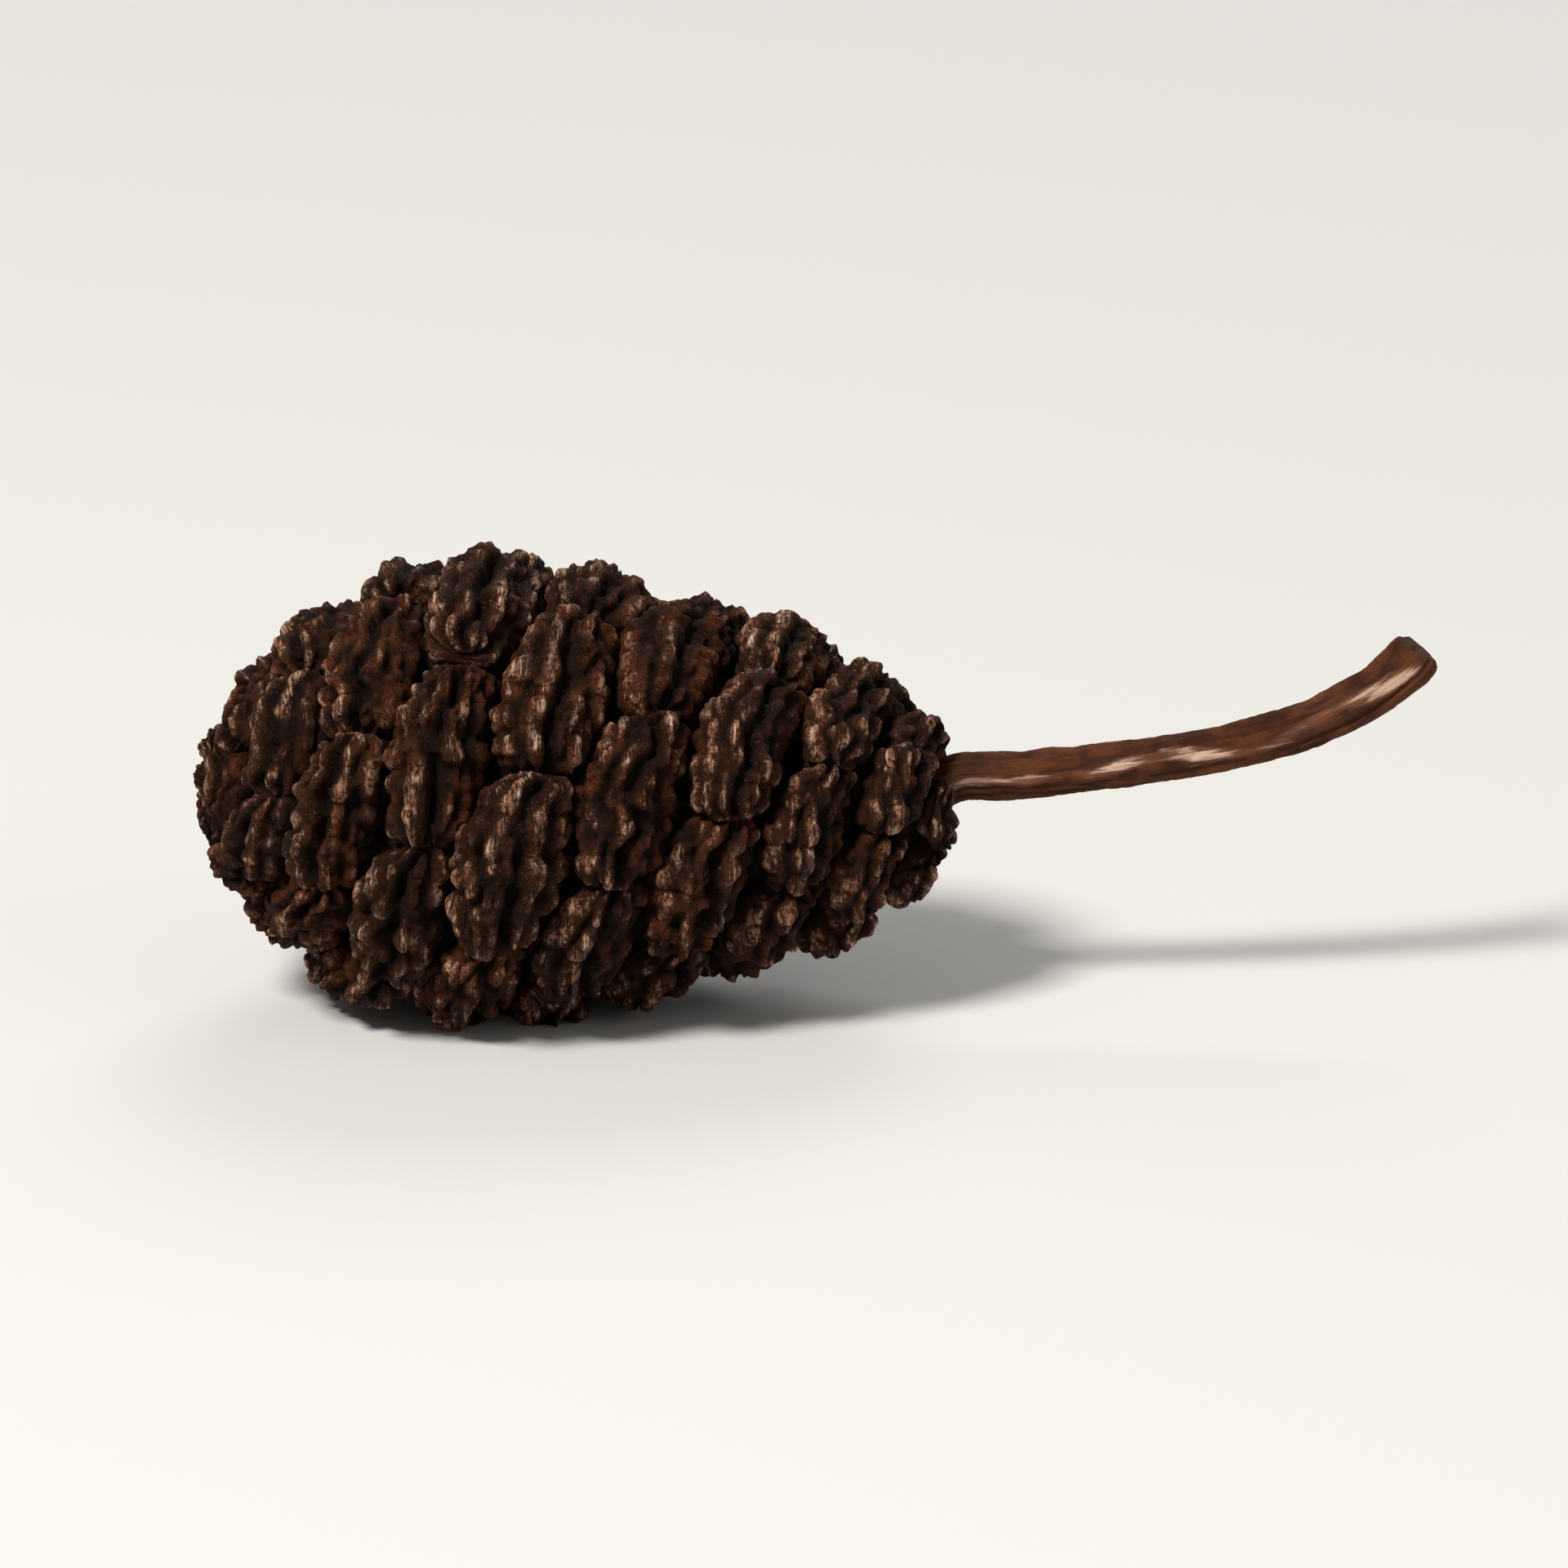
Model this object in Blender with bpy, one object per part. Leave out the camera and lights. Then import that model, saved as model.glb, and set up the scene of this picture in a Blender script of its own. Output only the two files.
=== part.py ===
"""An alder cone with its stalk, lying on its side on a level surface.

The cone is a spiral of thick woody scales that grow, close together, from one axis.  Each scale
ends in a lobed lip with a groove along it.  The lips lie end to end in rows that wind steeply
round the cone, with narrow cracks between them.  The stalk stands in a socket at the cone's base
and curves upwards.

Metres, +Z up.  The stalk points to +X, the cone's tip to -X, and z = 0 is the surface it lies on.
"""

import math

import bpy
import numpy as np
from mathutils import Matrix, Vector

MM = 0.001

# The outline that the lips touch.  Places along it are measured from the stalk end of the cone.
BODY_LENGTH = 19.2 * MM
BODY_RADIUS = 5.85 * MM
WIDEST_AT = 12.2 * MM
STALK_SIDE_POWERS = (1.6, 0.5)
TIP_SIDE_POWERS = (1.9, 0.57)
OUTLINE_STEPS = 721

# The spiral that the scales grow in.
GOLDEN_ANGLE = math.pi * (3 - math.sqrt(5))
RISE = 0.385 * MM
RISE_POWER = 0.3
LEAST_SHARE = 0.01
FIRST_RADIUS = 1.6 * MM
LAST_RADIUS = 0.6 * MM
NEIGHBOURS = (1, 2, 3, 5, 8)
VARIATION_SEED = 11

# The rows that the lips lie in: every third scale where the radius is above the second of
# ROW_RADII, every second scale where it is below the first.
WIDE_ROW = 3
NARROW_ROW = 2
ROW_RADII = (1.0 * MM, 2.0 * MM)
LEAST_RISE = 0.02 * MM

# The lip of a scale shares out the surface with its neighbours as if widths were LIP_SHAPE times
# shorter, and half of it turns less than LONGEST_HALF about the axis.  Its ends droop and thin to
# LIP_END_SHARE, its middle arches towards the cone's tip, and its edge on that side stands
# LIP_RISE of its thickness higher.  LIP_PLACES are places across it, with a GROOVE in the middle.
LIP_SHAPE = 2.3
LONGEST_HALF = 0.8 * math.pi
WIDTH_STEPS = 200
CRACK = 0.12 * MM
LIP_END = 0.14 * MM
LIP_ROUNDNESS = 0.75
LIP_SQUARENESS = 2.6
LIP_RISE = 0.16
LIP_ARCH = 0.22 * MM
LIP_DROOP = 0.4 * MM
LIP_DROOP_POWER = 5
LIP_END_POWER = 12
LIP_END_SHARE = 0.55
LIP_PLACES = np.array([-0.97, -0.62, -0.08, 0.62, 0.97])
GROOVE = np.array([0.0, 0.0, 0.35, 0.0, 0.0]) * MM
LOBE_HEIGHT = 0.2 * MM
LOBE_WAIST = 0.12

# Below its lip a scale narrows to a root, which leans back towards the stalk end.
SCALE_DEPTH = 3.0 * MM
ROOT_THICKNESS = 0.45
LEAN = math.radians(26)

# How scales differ, and how many stations across its width a scale is worked out at.
REACH_VARIATION = 0.2 * MM
THICKNESS_VARIATION = 0.06
LEAN_VARIATION = math.radians(4)
STATIONS = 11
SMALL_STATIONS = 7
SMALL_RADIUS = 3.7 * MM

# The axis that carries the scales, AXIS_COVER below the outline at the widest place.
AXIS_COVER = 1.6 * MM
AXIS_RINGS = 9
AXIS_SIDES = 12
AXIS_STALK_RADIUS = 1.2 * MM
AXIS_TIP_RADIUS = 0.3 * MM

# The stalk.
STALK_RADIUS = 0.55 * MM
STALK_END_RADIUS = 0.61 * MM
STALK_LENGTH = 10.9 * MM
STALK_RAISE = 0.48 * MM
STALK_RAISE_LENGTH = 1.4 * MM
STALK_LIFT = 1.7 * MM
STALK_LIFT_POWER = 1.5
STALK_HOOK = 1.4 * MM
STALK_HOOK_POWER = 7
STALK_SIDE_BEND = 0.6 * MM
STALK_SIDE_POWER = 2
STALK_END_POWER = 10
STALK_POINTS = 22
SOCKET_DEPTH = 1.6 * MM
SOCKET_GAP = 0.3 * MM

# How the cone lies: the axis dips towards the stalk, and the lips that carry it are worn flat.
CARRIED_AT = 10.4 * MM
TILT = math.radians(0.6)
WEAR = 0.42 * MM
BLOCK_SIZE = 40 * MM

# The finishes.
SCALE_COLOUR = (0.045, 0.021, 0.012)
SCALE_ROUGHNESS = 0.75
STALK_COLOUR = (0.19, 0.085, 0.045)
STALK_ROUGHNESS = 0.6


def clear_scene():
    for obj in list(bpy.data.objects):
        bpy.data.objects.remove(obj)


def material(name, colour, roughness):
    made = bpy.data.materials.new(name)
    made.use_nodes = True
    shader = made.node_tree.nodes["Principled BSDF"]
    shader.inputs["Base Color"].default_value = (*colour, 1.0)
    shader.inputs["Roughness"].default_value = roughness
    shader.inputs["Metallic"].default_value = 0.0
    return made


def mesh_object(name, points, faces):
    mesh = bpy.data.meshes.new(name)
    mesh.from_pydata([tuple(point) for point in points], [], faces)
    obj = bpy.data.objects.new(name, mesh)
    bpy.context.scene.collection.objects.link(obj)
    return obj


def ring_faces(rings, sides):
    """Quads between neighbouring rings of points, and a cap over each end ring."""
    faces = [tuple(range(sides)), tuple(reversed(range((rings - 1) * sides, rings * sides)))]
    for ring in range(rings - 1):
        for side in range(sides):
            here = ring * sides + side
            beside = ring * sides + (side + 1) % sides
            faces.append((here, here + sides, beside + sides, beside))
    return faces


def outline():
    """The outline as arrays over its own length: place along the axis, radius and direction.

    Each side of the widest place is radius = widest * (1 - share^p)^q, where share is 1 at the
    cone's end and 0 at the widest place.
    """
    turn = np.linspace(0.0, math.pi, OUTLINE_STEPS)
    share = np.abs(np.cos(turn))
    near_stalk = turn < math.pi / 2
    reach = np.where(near_stalk, -WIDEST_AT, BODY_LENGTH - WIDEST_AT)
    p = np.where(near_stalk, STALK_SIDE_POWERS[0], TIP_SIDE_POWERS[0])
    q = np.where(near_stalk, STALK_SIDE_POWERS[1], TIP_SIDE_POWERS[1])
    along = WIDEST_AT + reach * share
    radius = BODY_RADIUS * np.maximum(1 - share**p, 0.0) ** q
    length = np.concatenate([[0.0], np.cumsum(np.hypot(np.diff(along), np.diff(radius)))])
    direction = np.unwrap(np.arctan2(np.gradient(radius, length), np.gradient(along, length)))
    return {"length": length, "along": along, "radius": radius, "direction": direction}


def scale_places(curve):
    """The place on the outline, by its length, and the rise to the next one, for every scale."""
    rise = RISE * np.maximum(curve["radius"] / BODY_RADIUS, LEAST_SHARE) ** RISE_POWER
    numbers = np.concatenate([[0.0], np.cumsum(2 * np.diff(curve["length"]) / (rise[1:] + rise[:-1]))])
    widest = int(np.argmax(curve["radius"]))
    first = np.interp(FIRST_RADIUS, curve["radius"][:widest], numbers[:widest])
    last = np.interp(-LAST_RADIUS, -curve["radius"][widest:], numbers[widest:])
    at = np.interp(np.arange(first, last), numbers, curve["length"])
    return at, np.interp(at, curve["length"], rise)


def size_at(radius):
    """How large a scale at this radius is beside one at the widest place."""
    return np.sqrt(radius / BODY_RADIUS)


def wrapped(angle):
    return (angle + math.pi) % (2 * math.pi) - math.pi


def smooth_step(value, start, end):
    """0 at start, 1 at end, and 3t^2 - 2t^3 between them."""
    share = np.clip((value - start) / (end - start), 0.0, 1.0)
    return share * share * (3 - 2 * share)


def row_slope(radius, rise):
    """How much the rows of lips rise round the cone, at this radius."""
    slopes = [step * rise / (radius * wrapped(step * GOLDEN_ANGLE)) for step in (NARROW_ROW, WIDE_ROW)]
    return slopes[0] + (slopes[1] - slopes[0]) * smooth_step(radius, *ROW_RADII)


def upper_edge(x, radius, rise):
    """How far a lip reaches towards the cone's tip at x, the place across its width, from its row.

    It ends halfway to its neighbours, where widths count for 1 / LIP_SHAPE of their length.
    """
    step = np.array(NEIGHBOURS)[:, None]
    side = radius * wrapped(step * GOLDEN_ANGLE)
    up = step * rise - row_slope(radius, rise) * side
    side = np.where(up < 0, -side, side) / LIP_SHAPE
    up = np.maximum(np.abs(up), LEAST_RISE)
    return np.min(((side**2 + up**2) / 2 - side * x / LIP_SHAPE) / up, axis=0)


def half_width(radius, rise):
    """Where the lip's upper and lower edges come within its end thickness of each other."""
    x = np.linspace(0.0, LONGEST_HALF * radius, WIDTH_STEPS)
    thickness = upper_edge(x, radius, rise) + upper_edge(-x, radius, rise)
    return np.interp(-(CRACK + 2 * LIP_END), -thickness, x) - CRACK / 2


def scale_section(x, u, lobe, radius, rise, draw):
    """Place across the lip and depth below the outline of a loop of points at each station.

    A loop runs from the root out along the side that faces the stalk, over the lip, and back.  At
    each place over the lip its crest is (1 - |place|^n)^(1/n) high, less the groove.
    """
    size = size_at(radius)
    upper = upper_edge(x, radius, rise)
    lower = -upper_edge(-x, radius, rise)
    centre = (upper + lower) / 2 + LIP_ARCH * size * (0.5 - u**2)
    half = (upper - lower - CRACK) / 2 * draw["thickness"] * (1 - LOBE_WAIST * (1 - lobe))
    half = half * (1 - (1 - LIP_END_SHARE) * np.abs(u) ** LIP_END_POWER)
    outer = size * (LIP_DROOP * np.abs(u) ** LIP_DROOP_POWER - LOBE_HEIGHT * (lobe - 0.5) - draw["reach"])

    crest = (1 - np.abs(LIP_PLACES) ** LIP_SQUARENESS) ** (1 / LIP_SQUARENESS)
    rounding = LIP_ROUNDNESS * (1 - crest) - LIP_RISE * LIP_PLACES
    lip_across = centre[:, None] + half[:, None] * LIP_PLACES
    lip_depth = outer[:, None] + half[:, None] * rounding + size * GROOVE
    root_half = np.maximum(ROOT_THICKNESS * half, LIP_END)[:, None]
    root_depth = np.full((len(x), 1), SCALE_DEPTH * size)
    root_across = centre[:, None] - root_depth * math.tan(LEAN + draw["lean"])
    across = np.hstack([root_across - root_half, lip_across, root_across + root_half])
    across += (row_slope(radius, rise) * x)[:, None]
    return across, np.hstack([root_depth, lip_depth, root_depth])


def scale_object(name, curve, at, rise, azimuth, draw):
    """One scale, with its stations turned about the axis.  They alternate between notch and lobe."""
    radius = np.interp(at, curve["length"], curve["radius"])
    stations = STATIONS if radius > SMALL_RADIUS else SMALL_STATIONS
    u = np.linspace(-1.0, 1.0, stations)
    x = u * half_width(radius, rise)
    lobe = np.abs(np.cos((stations - 1) / 2 * math.pi / 2 * u))
    across, depth = scale_section(x, u, lobe, radius, rise, draw)

    place = np.clip(at + across, 0.0, curve["length"][-1])
    slope = np.interp(place, curve["length"], curve["direction"])
    along = np.interp(place, curve["length"], curve["along"]) + depth * np.sin(slope)
    out = np.interp(place, curve["length"], curve["radius"]) - depth * np.cos(slope)
    turn = azimuth + (x / radius)[:, None]
    points = np.stack([-along, out * np.cos(turn), out * np.sin(turn)], axis=-1)[::-1]
    return mesh_object(name, points.reshape(-1, 3), ring_faces(stations, points.shape[1]))


def scale_objects(curve, places, rises, lowest):
    """Every scale, turned about the axis so that the lowest one points straight down."""
    draws = np.random.default_rng(VARIATION_SEED)
    made = []
    for number, (at, rise) in enumerate(zip(places, rises)):
        draw = {
            "reach": draws.uniform(-REACH_VARIATION, REACH_VARIATION),
            "thickness": 1 + draws.uniform(-THICKNESS_VARIATION, THICKNESS_VARIATION),
            "lean": draws.uniform(-LEAN_VARIATION, LEAN_VARIATION),
        }
        azimuth = (number - lowest) * GOLDEN_ANGLE - math.pi / 2
        made.append(scale_object(f"scale_{number}", curve, at, rise, azimuth, draw))
    return made


def axis_object(curve):
    """The axis inside the scales: the outline, drawn in as far as the scales stand out of it."""
    cover = AXIS_COVER * size_at(curve["radius"])
    along = curve["along"] + cover * np.sin(curve["direction"])
    radius = curve["radius"] - cover * np.cos(curve["direction"])
    least = np.where(along < WIDEST_AT, AXIS_STALK_RADIUS, AXIS_TIP_RADIUS)
    kept = np.flatnonzero(radius > least)
    picks = kept[np.linspace(0, len(kept) - 1, AXIS_RINGS).astype(int)]
    x = np.repeat(-along[picks, None], AXIS_SIDES, axis=1)
    turn = np.arange(AXIS_SIDES) * 2 * math.pi / AXIS_SIDES
    across = radius[picks, None]
    points = np.stack([x, across * np.cos(turn), across * np.sin(turn)], axis=-1)
    return mesh_object("cone_scales", points.reshape(-1, 3), ring_faces(AXIS_RINGS, AXIS_SIDES))


def base_place(curve, lowest_at):
    """Where the axis ends at the stalk: the lowest scale then lies over the origin.

    The outline's lowest point is WEAR below the surface, before the lips are worn flat there.
    """
    along = np.interp(lowest_at, curve["length"], curve["along"])
    radius = np.interp(lowest_at, curve["length"], curve["radius"])
    depths = curve["radius"] * math.cos(TILT) - curve["along"] * math.sin(TILT)
    return Vector((along * math.cos(TILT) + radius * math.sin(TILT), 0, np.max(depths) - WEAR))


def joined(base, others):
    """Join the others to the base with one Boolean, and remove them."""
    group = bpy.data.collections.new("joined")
    bpy.context.scene.collection.children.link(group)
    for obj in others:
        group.objects.link(obj)
    union = base.modifiers.new("union", "BOOLEAN")
    union.operation = "UNION"
    union.operand_type = "COLLECTION"
    union.collection = group
    union.solver = "MANIFOLD"
    apply_modifiers(base)
    for obj in others:
        bpy.data.objects.remove(obj)
    bpy.data.collections.remove(group)


def cut(base, cutter):
    """Cut the cutter's shape out of the base, and remove the cutter."""
    difference = base.modifiers.new("difference", "BOOLEAN")
    difference.operation = "DIFFERENCE"
    difference.object = cutter
    apply_modifiers(base)
    bpy.data.objects.remove(cutter)


def apply_modifiers(obj):
    obj.data = evaluated_mesh(obj)
    obj.modifiers.clear()


def evaluated_mesh(obj):
    view = bpy.context.evaluated_depsgraph_get()
    return bpy.data.meshes.new_from_object(obj.evaluated_get(view))


def block_below_surface():
    bpy.ops.mesh.primitive_cube_add(size=BLOCK_SIZE, location=(0, 0, -BLOCK_SIZE / 2))
    return bpy.context.object


def tube(name, base, gap):
    """A curve with a bevel for the stalk or, with a gap round it, for its socket.

    It leaves the axis inside the cone, lifts as a power of the way along, and hooks up at its end
    as a higher power.
    """
    reach = np.linspace(-SOCKET_DEPTH - gap, STALK_LENGTH, STALK_POINTS)
    share = np.clip(reach / STALK_LENGTH, 0.0, None)
    raised = STALK_RAISE * smooth_step(reach, -SOCKET_DEPTH, STALK_RAISE_LENGTH - SOCKET_DEPTH)
    lift = STALK_LIFT * share**STALK_LIFT_POWER + STALK_HOOK * share**STALK_HOOK_POWER
    lift = raised + lift - reach * (1 - share) * math.sin(TILT)
    side = STALK_SIDE_BEND * share**STALK_SIDE_POWER
    radius = STALK_RADIUS + (STALK_END_RADIUS - STALK_RADIUS) * share**STALK_END_POWER + gap
    data = bpy.data.curves.new(name, "CURVE")
    data.dimensions = "3D"
    data.bevel_depth = 1.0
    data.bevel_resolution = 2
    data.use_fill_caps = True
    spline = data.splines.new("POLY")
    spline.points.add(STALK_POINTS - 1)
    for k, point in enumerate(spline.points):
        point.co = (*(base + Vector((reach[k], side[k], lift[k]))), 1.0)
        point.radius = radius[k]
    obj = bpy.data.objects.new(name, data)
    bpy.context.scene.collection.objects.link(obj)
    return obj


def cone_object(curve, places, rises, lowest, base):
    """The axis and its scales as one body, laid down, with the lowest lips worn flat."""
    cone = axis_object(curve)
    joined(cone, scale_objects(curve, places, rises, lowest))
    cone.data.transform(Matrix.Translation(base) @ Matrix.Rotation(TILT, 4, "Y"))
    cut(cone, block_below_surface())
    socket = tube("socket", base, SOCKET_GAP)
    socket_mesh = bpy.data.objects.new("socket_mesh", evaluated_mesh(socket))
    bpy.context.scene.collection.objects.link(socket_mesh)
    bpy.data.objects.remove(socket)
    cut(cone, socket_mesh)
    return cone


clear_scene()
curve = outline()
places, rises = scale_places(curve)
lowest = np.argmin(np.abs(np.interp(places, curve["length"], curve["along"]) - CARRIED_AT))
base = base_place(curve, places[lowest])

cone = cone_object(curve, places, rises, lowest, base)
cone.data.materials.append(material("cone scale wood", SCALE_COLOUR, SCALE_ROUGHNESS))

stalk = tube("stalk", base, 0.0)
stalk.data.materials.append(material("stalk wood", STALK_COLOUR, STALK_ROUGHNESS))
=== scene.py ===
"""An alder cone with its stalk, finished, on a pale floor in soft studio light.

The scales get lobed, wrinkled and grooved lips, the axis inside them a rough surface, and the stalk
ridged bark.  Metres, +Z up.  The stalk points to +X, the cone's tip to -X, and z = 0 is the floor.
"""

import itertools
import math

import bpy
import numpy as np
from mathutils import Euler, Matrix, Vector


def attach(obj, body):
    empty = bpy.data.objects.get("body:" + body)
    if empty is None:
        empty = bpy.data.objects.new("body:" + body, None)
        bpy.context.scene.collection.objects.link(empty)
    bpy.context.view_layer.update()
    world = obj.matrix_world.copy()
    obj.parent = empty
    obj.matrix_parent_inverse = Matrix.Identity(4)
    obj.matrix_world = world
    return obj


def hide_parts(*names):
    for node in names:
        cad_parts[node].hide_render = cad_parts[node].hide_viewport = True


MM = 0.001

# The outline that the lips touch.  Places along it are measured from the stalk end of the cone.
BODY_LENGTH = 19.2 * MM
BODY_RADIUS = 5.85 * MM
WIDEST_AT = 12.2 * MM
STALK_SIDE_POWERS = (1.6, 0.5)
TIP_SIDE_POWERS = (1.9, 0.57)
OUTLINE_STEPS = 721

# The spiral that the scales grow in.
GOLDEN_ANGLE = math.pi * (3 - math.sqrt(5))
RISE = 0.385 * MM
RISE_POWER = 0.3
LEAST_SHARE = 0.01
FIRST_RADIUS = 1.6 * MM
LAST_RADIUS = 0.6 * MM
NEIGHBOURS = (1, 2, 3, 5, 8)
WIDE_ROW = 3
NARROW_ROW = 2
ROW_RADII = (1.0 * MM, 2.0 * MM)
LEAST_RISE = 0.02 * MM
VARIATION_SEED = 11

# The lip of a scale.
LIP_SHAPE = 2.3
LONGEST_HALF = 0.8 * math.pi
WIDTH_STEPS = 200
CRACK = 0.12 * MM
LIP_END = 0.14 * MM
LIP_ROUNDNESS = 1.0
LIP_SQUARENESS = 2.2
LIP_RISE = 0.16
LIP_ARCH = 0.22 * MM
LIP_DROOP = 0.4 * MM
LIP_DROOP_POWER = 5
LIP_END_POWER = 12
LIP_END_SHARE = 0.55
LOBE_HEIGHT = 0.2 * MM
LOBE_WAIST = 0.12
LOBES = 5
SMALL_LOBES = 3
SMALL_RADIUS = 3.7 * MM

# The root of a scale, and how scales differ.
SCALE_DEPTH = 3.0 * MM
ROOT_THICKNESS = 0.45
LEAN = math.radians(26)
REACH_VARIATION = 0.2 * MM
THICKNESS_VARIATION = 0.06
LEAN_VARIATION = math.radians(4)

# The axis inside the scales.
AXIS_COVER = 1.6 * MM
AXIS_STALK_RADIUS = 1.2 * MM
AXIS_TIP_RADIUS = 0.3 * MM

# The stalk.
STALK_RADIUS = 0.55 * MM
STALK_END_RADIUS = 0.61 * MM
STALK_LENGTH = 10.9 * MM
STALK_RAISE = 0.48 * MM
STALK_RAISE_LENGTH = 1.4 * MM
STALK_LIFT = 1.7 * MM
STALK_LIFT_POWER = 1.5
STALK_HOOK = 1.4 * MM
STALK_HOOK_POWER = 7
STALK_SIDE_BEND = 0.6 * MM
STALK_SIDE_POWER = 2
STALK_END_POWER = 10
STALK_END_ROUNDING = 0.3 * MM
SOCKET_DEPTH = 1.6 * MM

# How the cone lies.
CARRIED_AT = 10.4 * MM
TILT = math.radians(0.6)
WEAR = 0.42 * MM

# The grid of a fine scale: stations across it, points up each side of its root and over its lip,
# and how much its neck hugs the root.  The scales are shared out over five pieces.
STATIONS = 106
SIDE_POINTS = 6
LIP_POINTS = 48
NECK_POWER = 1.7
PIECES = 5

# How a lip's lobes, edges, reach and thickness wander along it.  The softness rounds the clefts
# between its lobes, and the steps are how far apart scales, and these four, lie in the noise.
LOBE_SOFTNESS = 0.02
LOBE_WANDER = 0.05
EDGE_WANDER = 0.09 * MM
REACH_WANDER = 0.1 * MM
THICKNESS_WANDER = 0.1
WANDERS_A_WIDTH = 2.6
WANDER_SCALE_STEP = 7.3
WANDER_STEP = 5.1

# The grooves along a lip: places, wanders and widths as shares of its half thickness.  A groove
# has its mean share of its depth, give or take the variation.
GROOVE_PLACES = (-0.08, -0.62, 0.55)
GROOVE_WANDERS = (0.22, 0.12, 0.2)
GROOVE_WIDTHS = (0.15, 0.1, 0.1)
GROOVE_DEPTHS = (0.6 * MM, 0.25 * MM, 0.25 * MM)
GROOVE_MEAN = 0.75
GROOVE_VARIATION = 0.5
GROOVES_A_WIDTH = 3.4
GROOVE_SCALE_STEP = 5.7
GROOVE_STEP = 3.3
GROOVE_SEED = 40

# The small forms on a lip, with the cells of their noise in millimetres: along the lip, across it
# and inwards.
RIDGE_CELLS, RIDGE_HEIGHT, RIDGE_SEED = (1.9, 0.34, 0.6), 0.22 * MM, 51
WRINKLE_CELLS, WRINKLE_HEIGHT, WRINKLE_SEED = (0.6, 0.19, 0.25), 0.055 * MM, 52
GRAIN_CELLS, GRAIN_HEIGHT, GRAIN_SEED = (0.38, 0.34, 0.34), 0.11 * MM, 53
FINE_CELL, FINE_HEIGHT, FINE_SEED = 0.12, 0.016 * MM, 57

# Those on the axis.
KNOB_CELL, KNOB_HEIGHT, KNOB_SEED = 0.6, 0.3 * MM, 61
PIT_CELL, PIT_HEIGHT, PIT_SEED = 0.25, 0.1 * MM, 62

# Those on the bark, with their cells along the stalk and across it.
FURROW_CELLS, FURROW_HEIGHT, FURROW_SEED = (5.0, 0.32, 0.32), 0.10 * MM, 71
FIBRE_CELLS, FIBRE_HEIGHT, FIBRE_SEED = (1.8, 0.15, 0.15), 0.06 * MM, 72
LUMP_CELLS, LUMP_HEIGHT, LUMP_SEED = (0.6, 0.5, 0.5), 0.03 * MM, 73
BARK_GRAIN_CELL, BARK_GRAIN_HEIGHT, BARK_GRAIN_SEED = 0.12, 0.015 * MM, 74

# The two kinds of relief that the forms are made of: pillows and cobbles.
PILLOW_GAIN = 2.4
PILLOW_POWER = 0.6
PILLOW_MIDDLE = 0.6
COBBLE_SCATTER = 0.4
COBBLE_REACH = 0.7
COBBLE_MIDDLE = 0.5

# Where the relief fades, towards a scale's root, and how far apart scales lie in the noise.
EXPOSED_DEPTHS = (1.9 * MM, 0.6 * MM)
LEAST_RELIEF = 0.25
SCALE_STEP = 31.7

# The grids of the axis and of the stalk.  The last ring of a rounded end lies at its last share,
# just short of 1, so that it is a small circle.  The axis gets the painted shade of the deepest cracks.
AXIS_RINGS = 110
AXIS_SIDES = 96
AXIS_END = 0.35 * MM
AXIS_END_RINGS = 8
AXIS_LAST_SHARE = 0.999
AXIS_SHADE_COVER = 2.0
STALK_RINGS = 300
STALK_SIDES = 64
STALK_LAST_SHARE = 0.9999

# The margins of a tube's map: at the sides of the wall, and at its ends, where the caps are.
MAP_MARGIN = 0.01
MAP_END = 0.05

# Where round the stalk its bark is rubbed pale, with a painted highlight, in strips along it that wander
# and fade.
PEEL_HIGHLIGHT_PLACES = (2.95, 0.5, 5.4)
PEEL_HIGHLIGHT_WIDTHS = (0.3, 0.3, 0.25)
PEEL_HIGHLIGHT_WANDER = 0.4
PEEL_HIGHLIGHT_CELLS = (2.2, 1.1)
PEEL_HIGHLIGHT_STEP = 9.1
PEEL_HIGHLIGHT_SEED = 77
PEEL_HIGHLIGHT_MEAN = 0.75
PEEL_HIGHLIGHT_VARIATION = 0.6
PEEL_HIGHLIGHT_END = 0.6 * MM
PEEL_HIGHLIGHT_BASE = (0.5 * MM, 5.0 * MM)
PEEL_HIGHLIGHT_AT_BASE = 0.55

# Colours of the scales' wood, from the painted shade of the cracks to the worn ridges with their painted
# highlights.
CRACK_BLACK = (0.003, 0.0015, 0.001, 1.0)
# Painted shade for the hollows of the relief.
HOLLOW_SHADE_BLACK = (0.004, 0.0018, 0.0012, 1.0)
# Painted shade deep between the scales.
DEEP_SHADE_BLACK = (0.004, 0.0025, 0.002, 1.0)
FIBRE_BLACK = (0.006, 0.0025, 0.0015, 1.0)
STREAK_BLACK = (0.009, 0.004, 0.003, 1.0)
DARK_WOOD = (0.016, 0.0041, 0.0016, 1.0)
BROWN_WOOD = (0.043, 0.0125, 0.0050, 1.0)
RED_WOOD = (0.070, 0.0175, 0.0058, 1.0)
# Worn ridge tops, lightened further by a painted highlight.
WORN_AND_HIGHLIGHT_WOOD = (0.33, 0.145, 0.075, 1.0)
# Rubbed pale fibres on ridge tops, with a painted highlight.
RUBBED_AND_HIGHLIGHT_WOOD = (0.72, 0.53, 0.42, 1.0)
PALE_DUST = (0.30, 0.22, 0.17, 1.0)
WARM_SHINE = (1.0, 0.78, 0.62, 1.0)

# Colours of the stalk's bark, and of the wood under it.
DARK_BARK = (0.033, 0.0090, 0.0036, 1.0)
RED_BARK = (0.098, 0.029, 0.0105, 1.0)
BASE_BARK = (0.035, 0.012, 0.006, 1.0)
# Painted shade in the bark's furrows.
FURROW_SHADE_BARK = (0.035, 0.013, 0.008, 1.0)
FIBRE_BARK = (0.045, 0.016, 0.009, 1.0)
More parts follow.
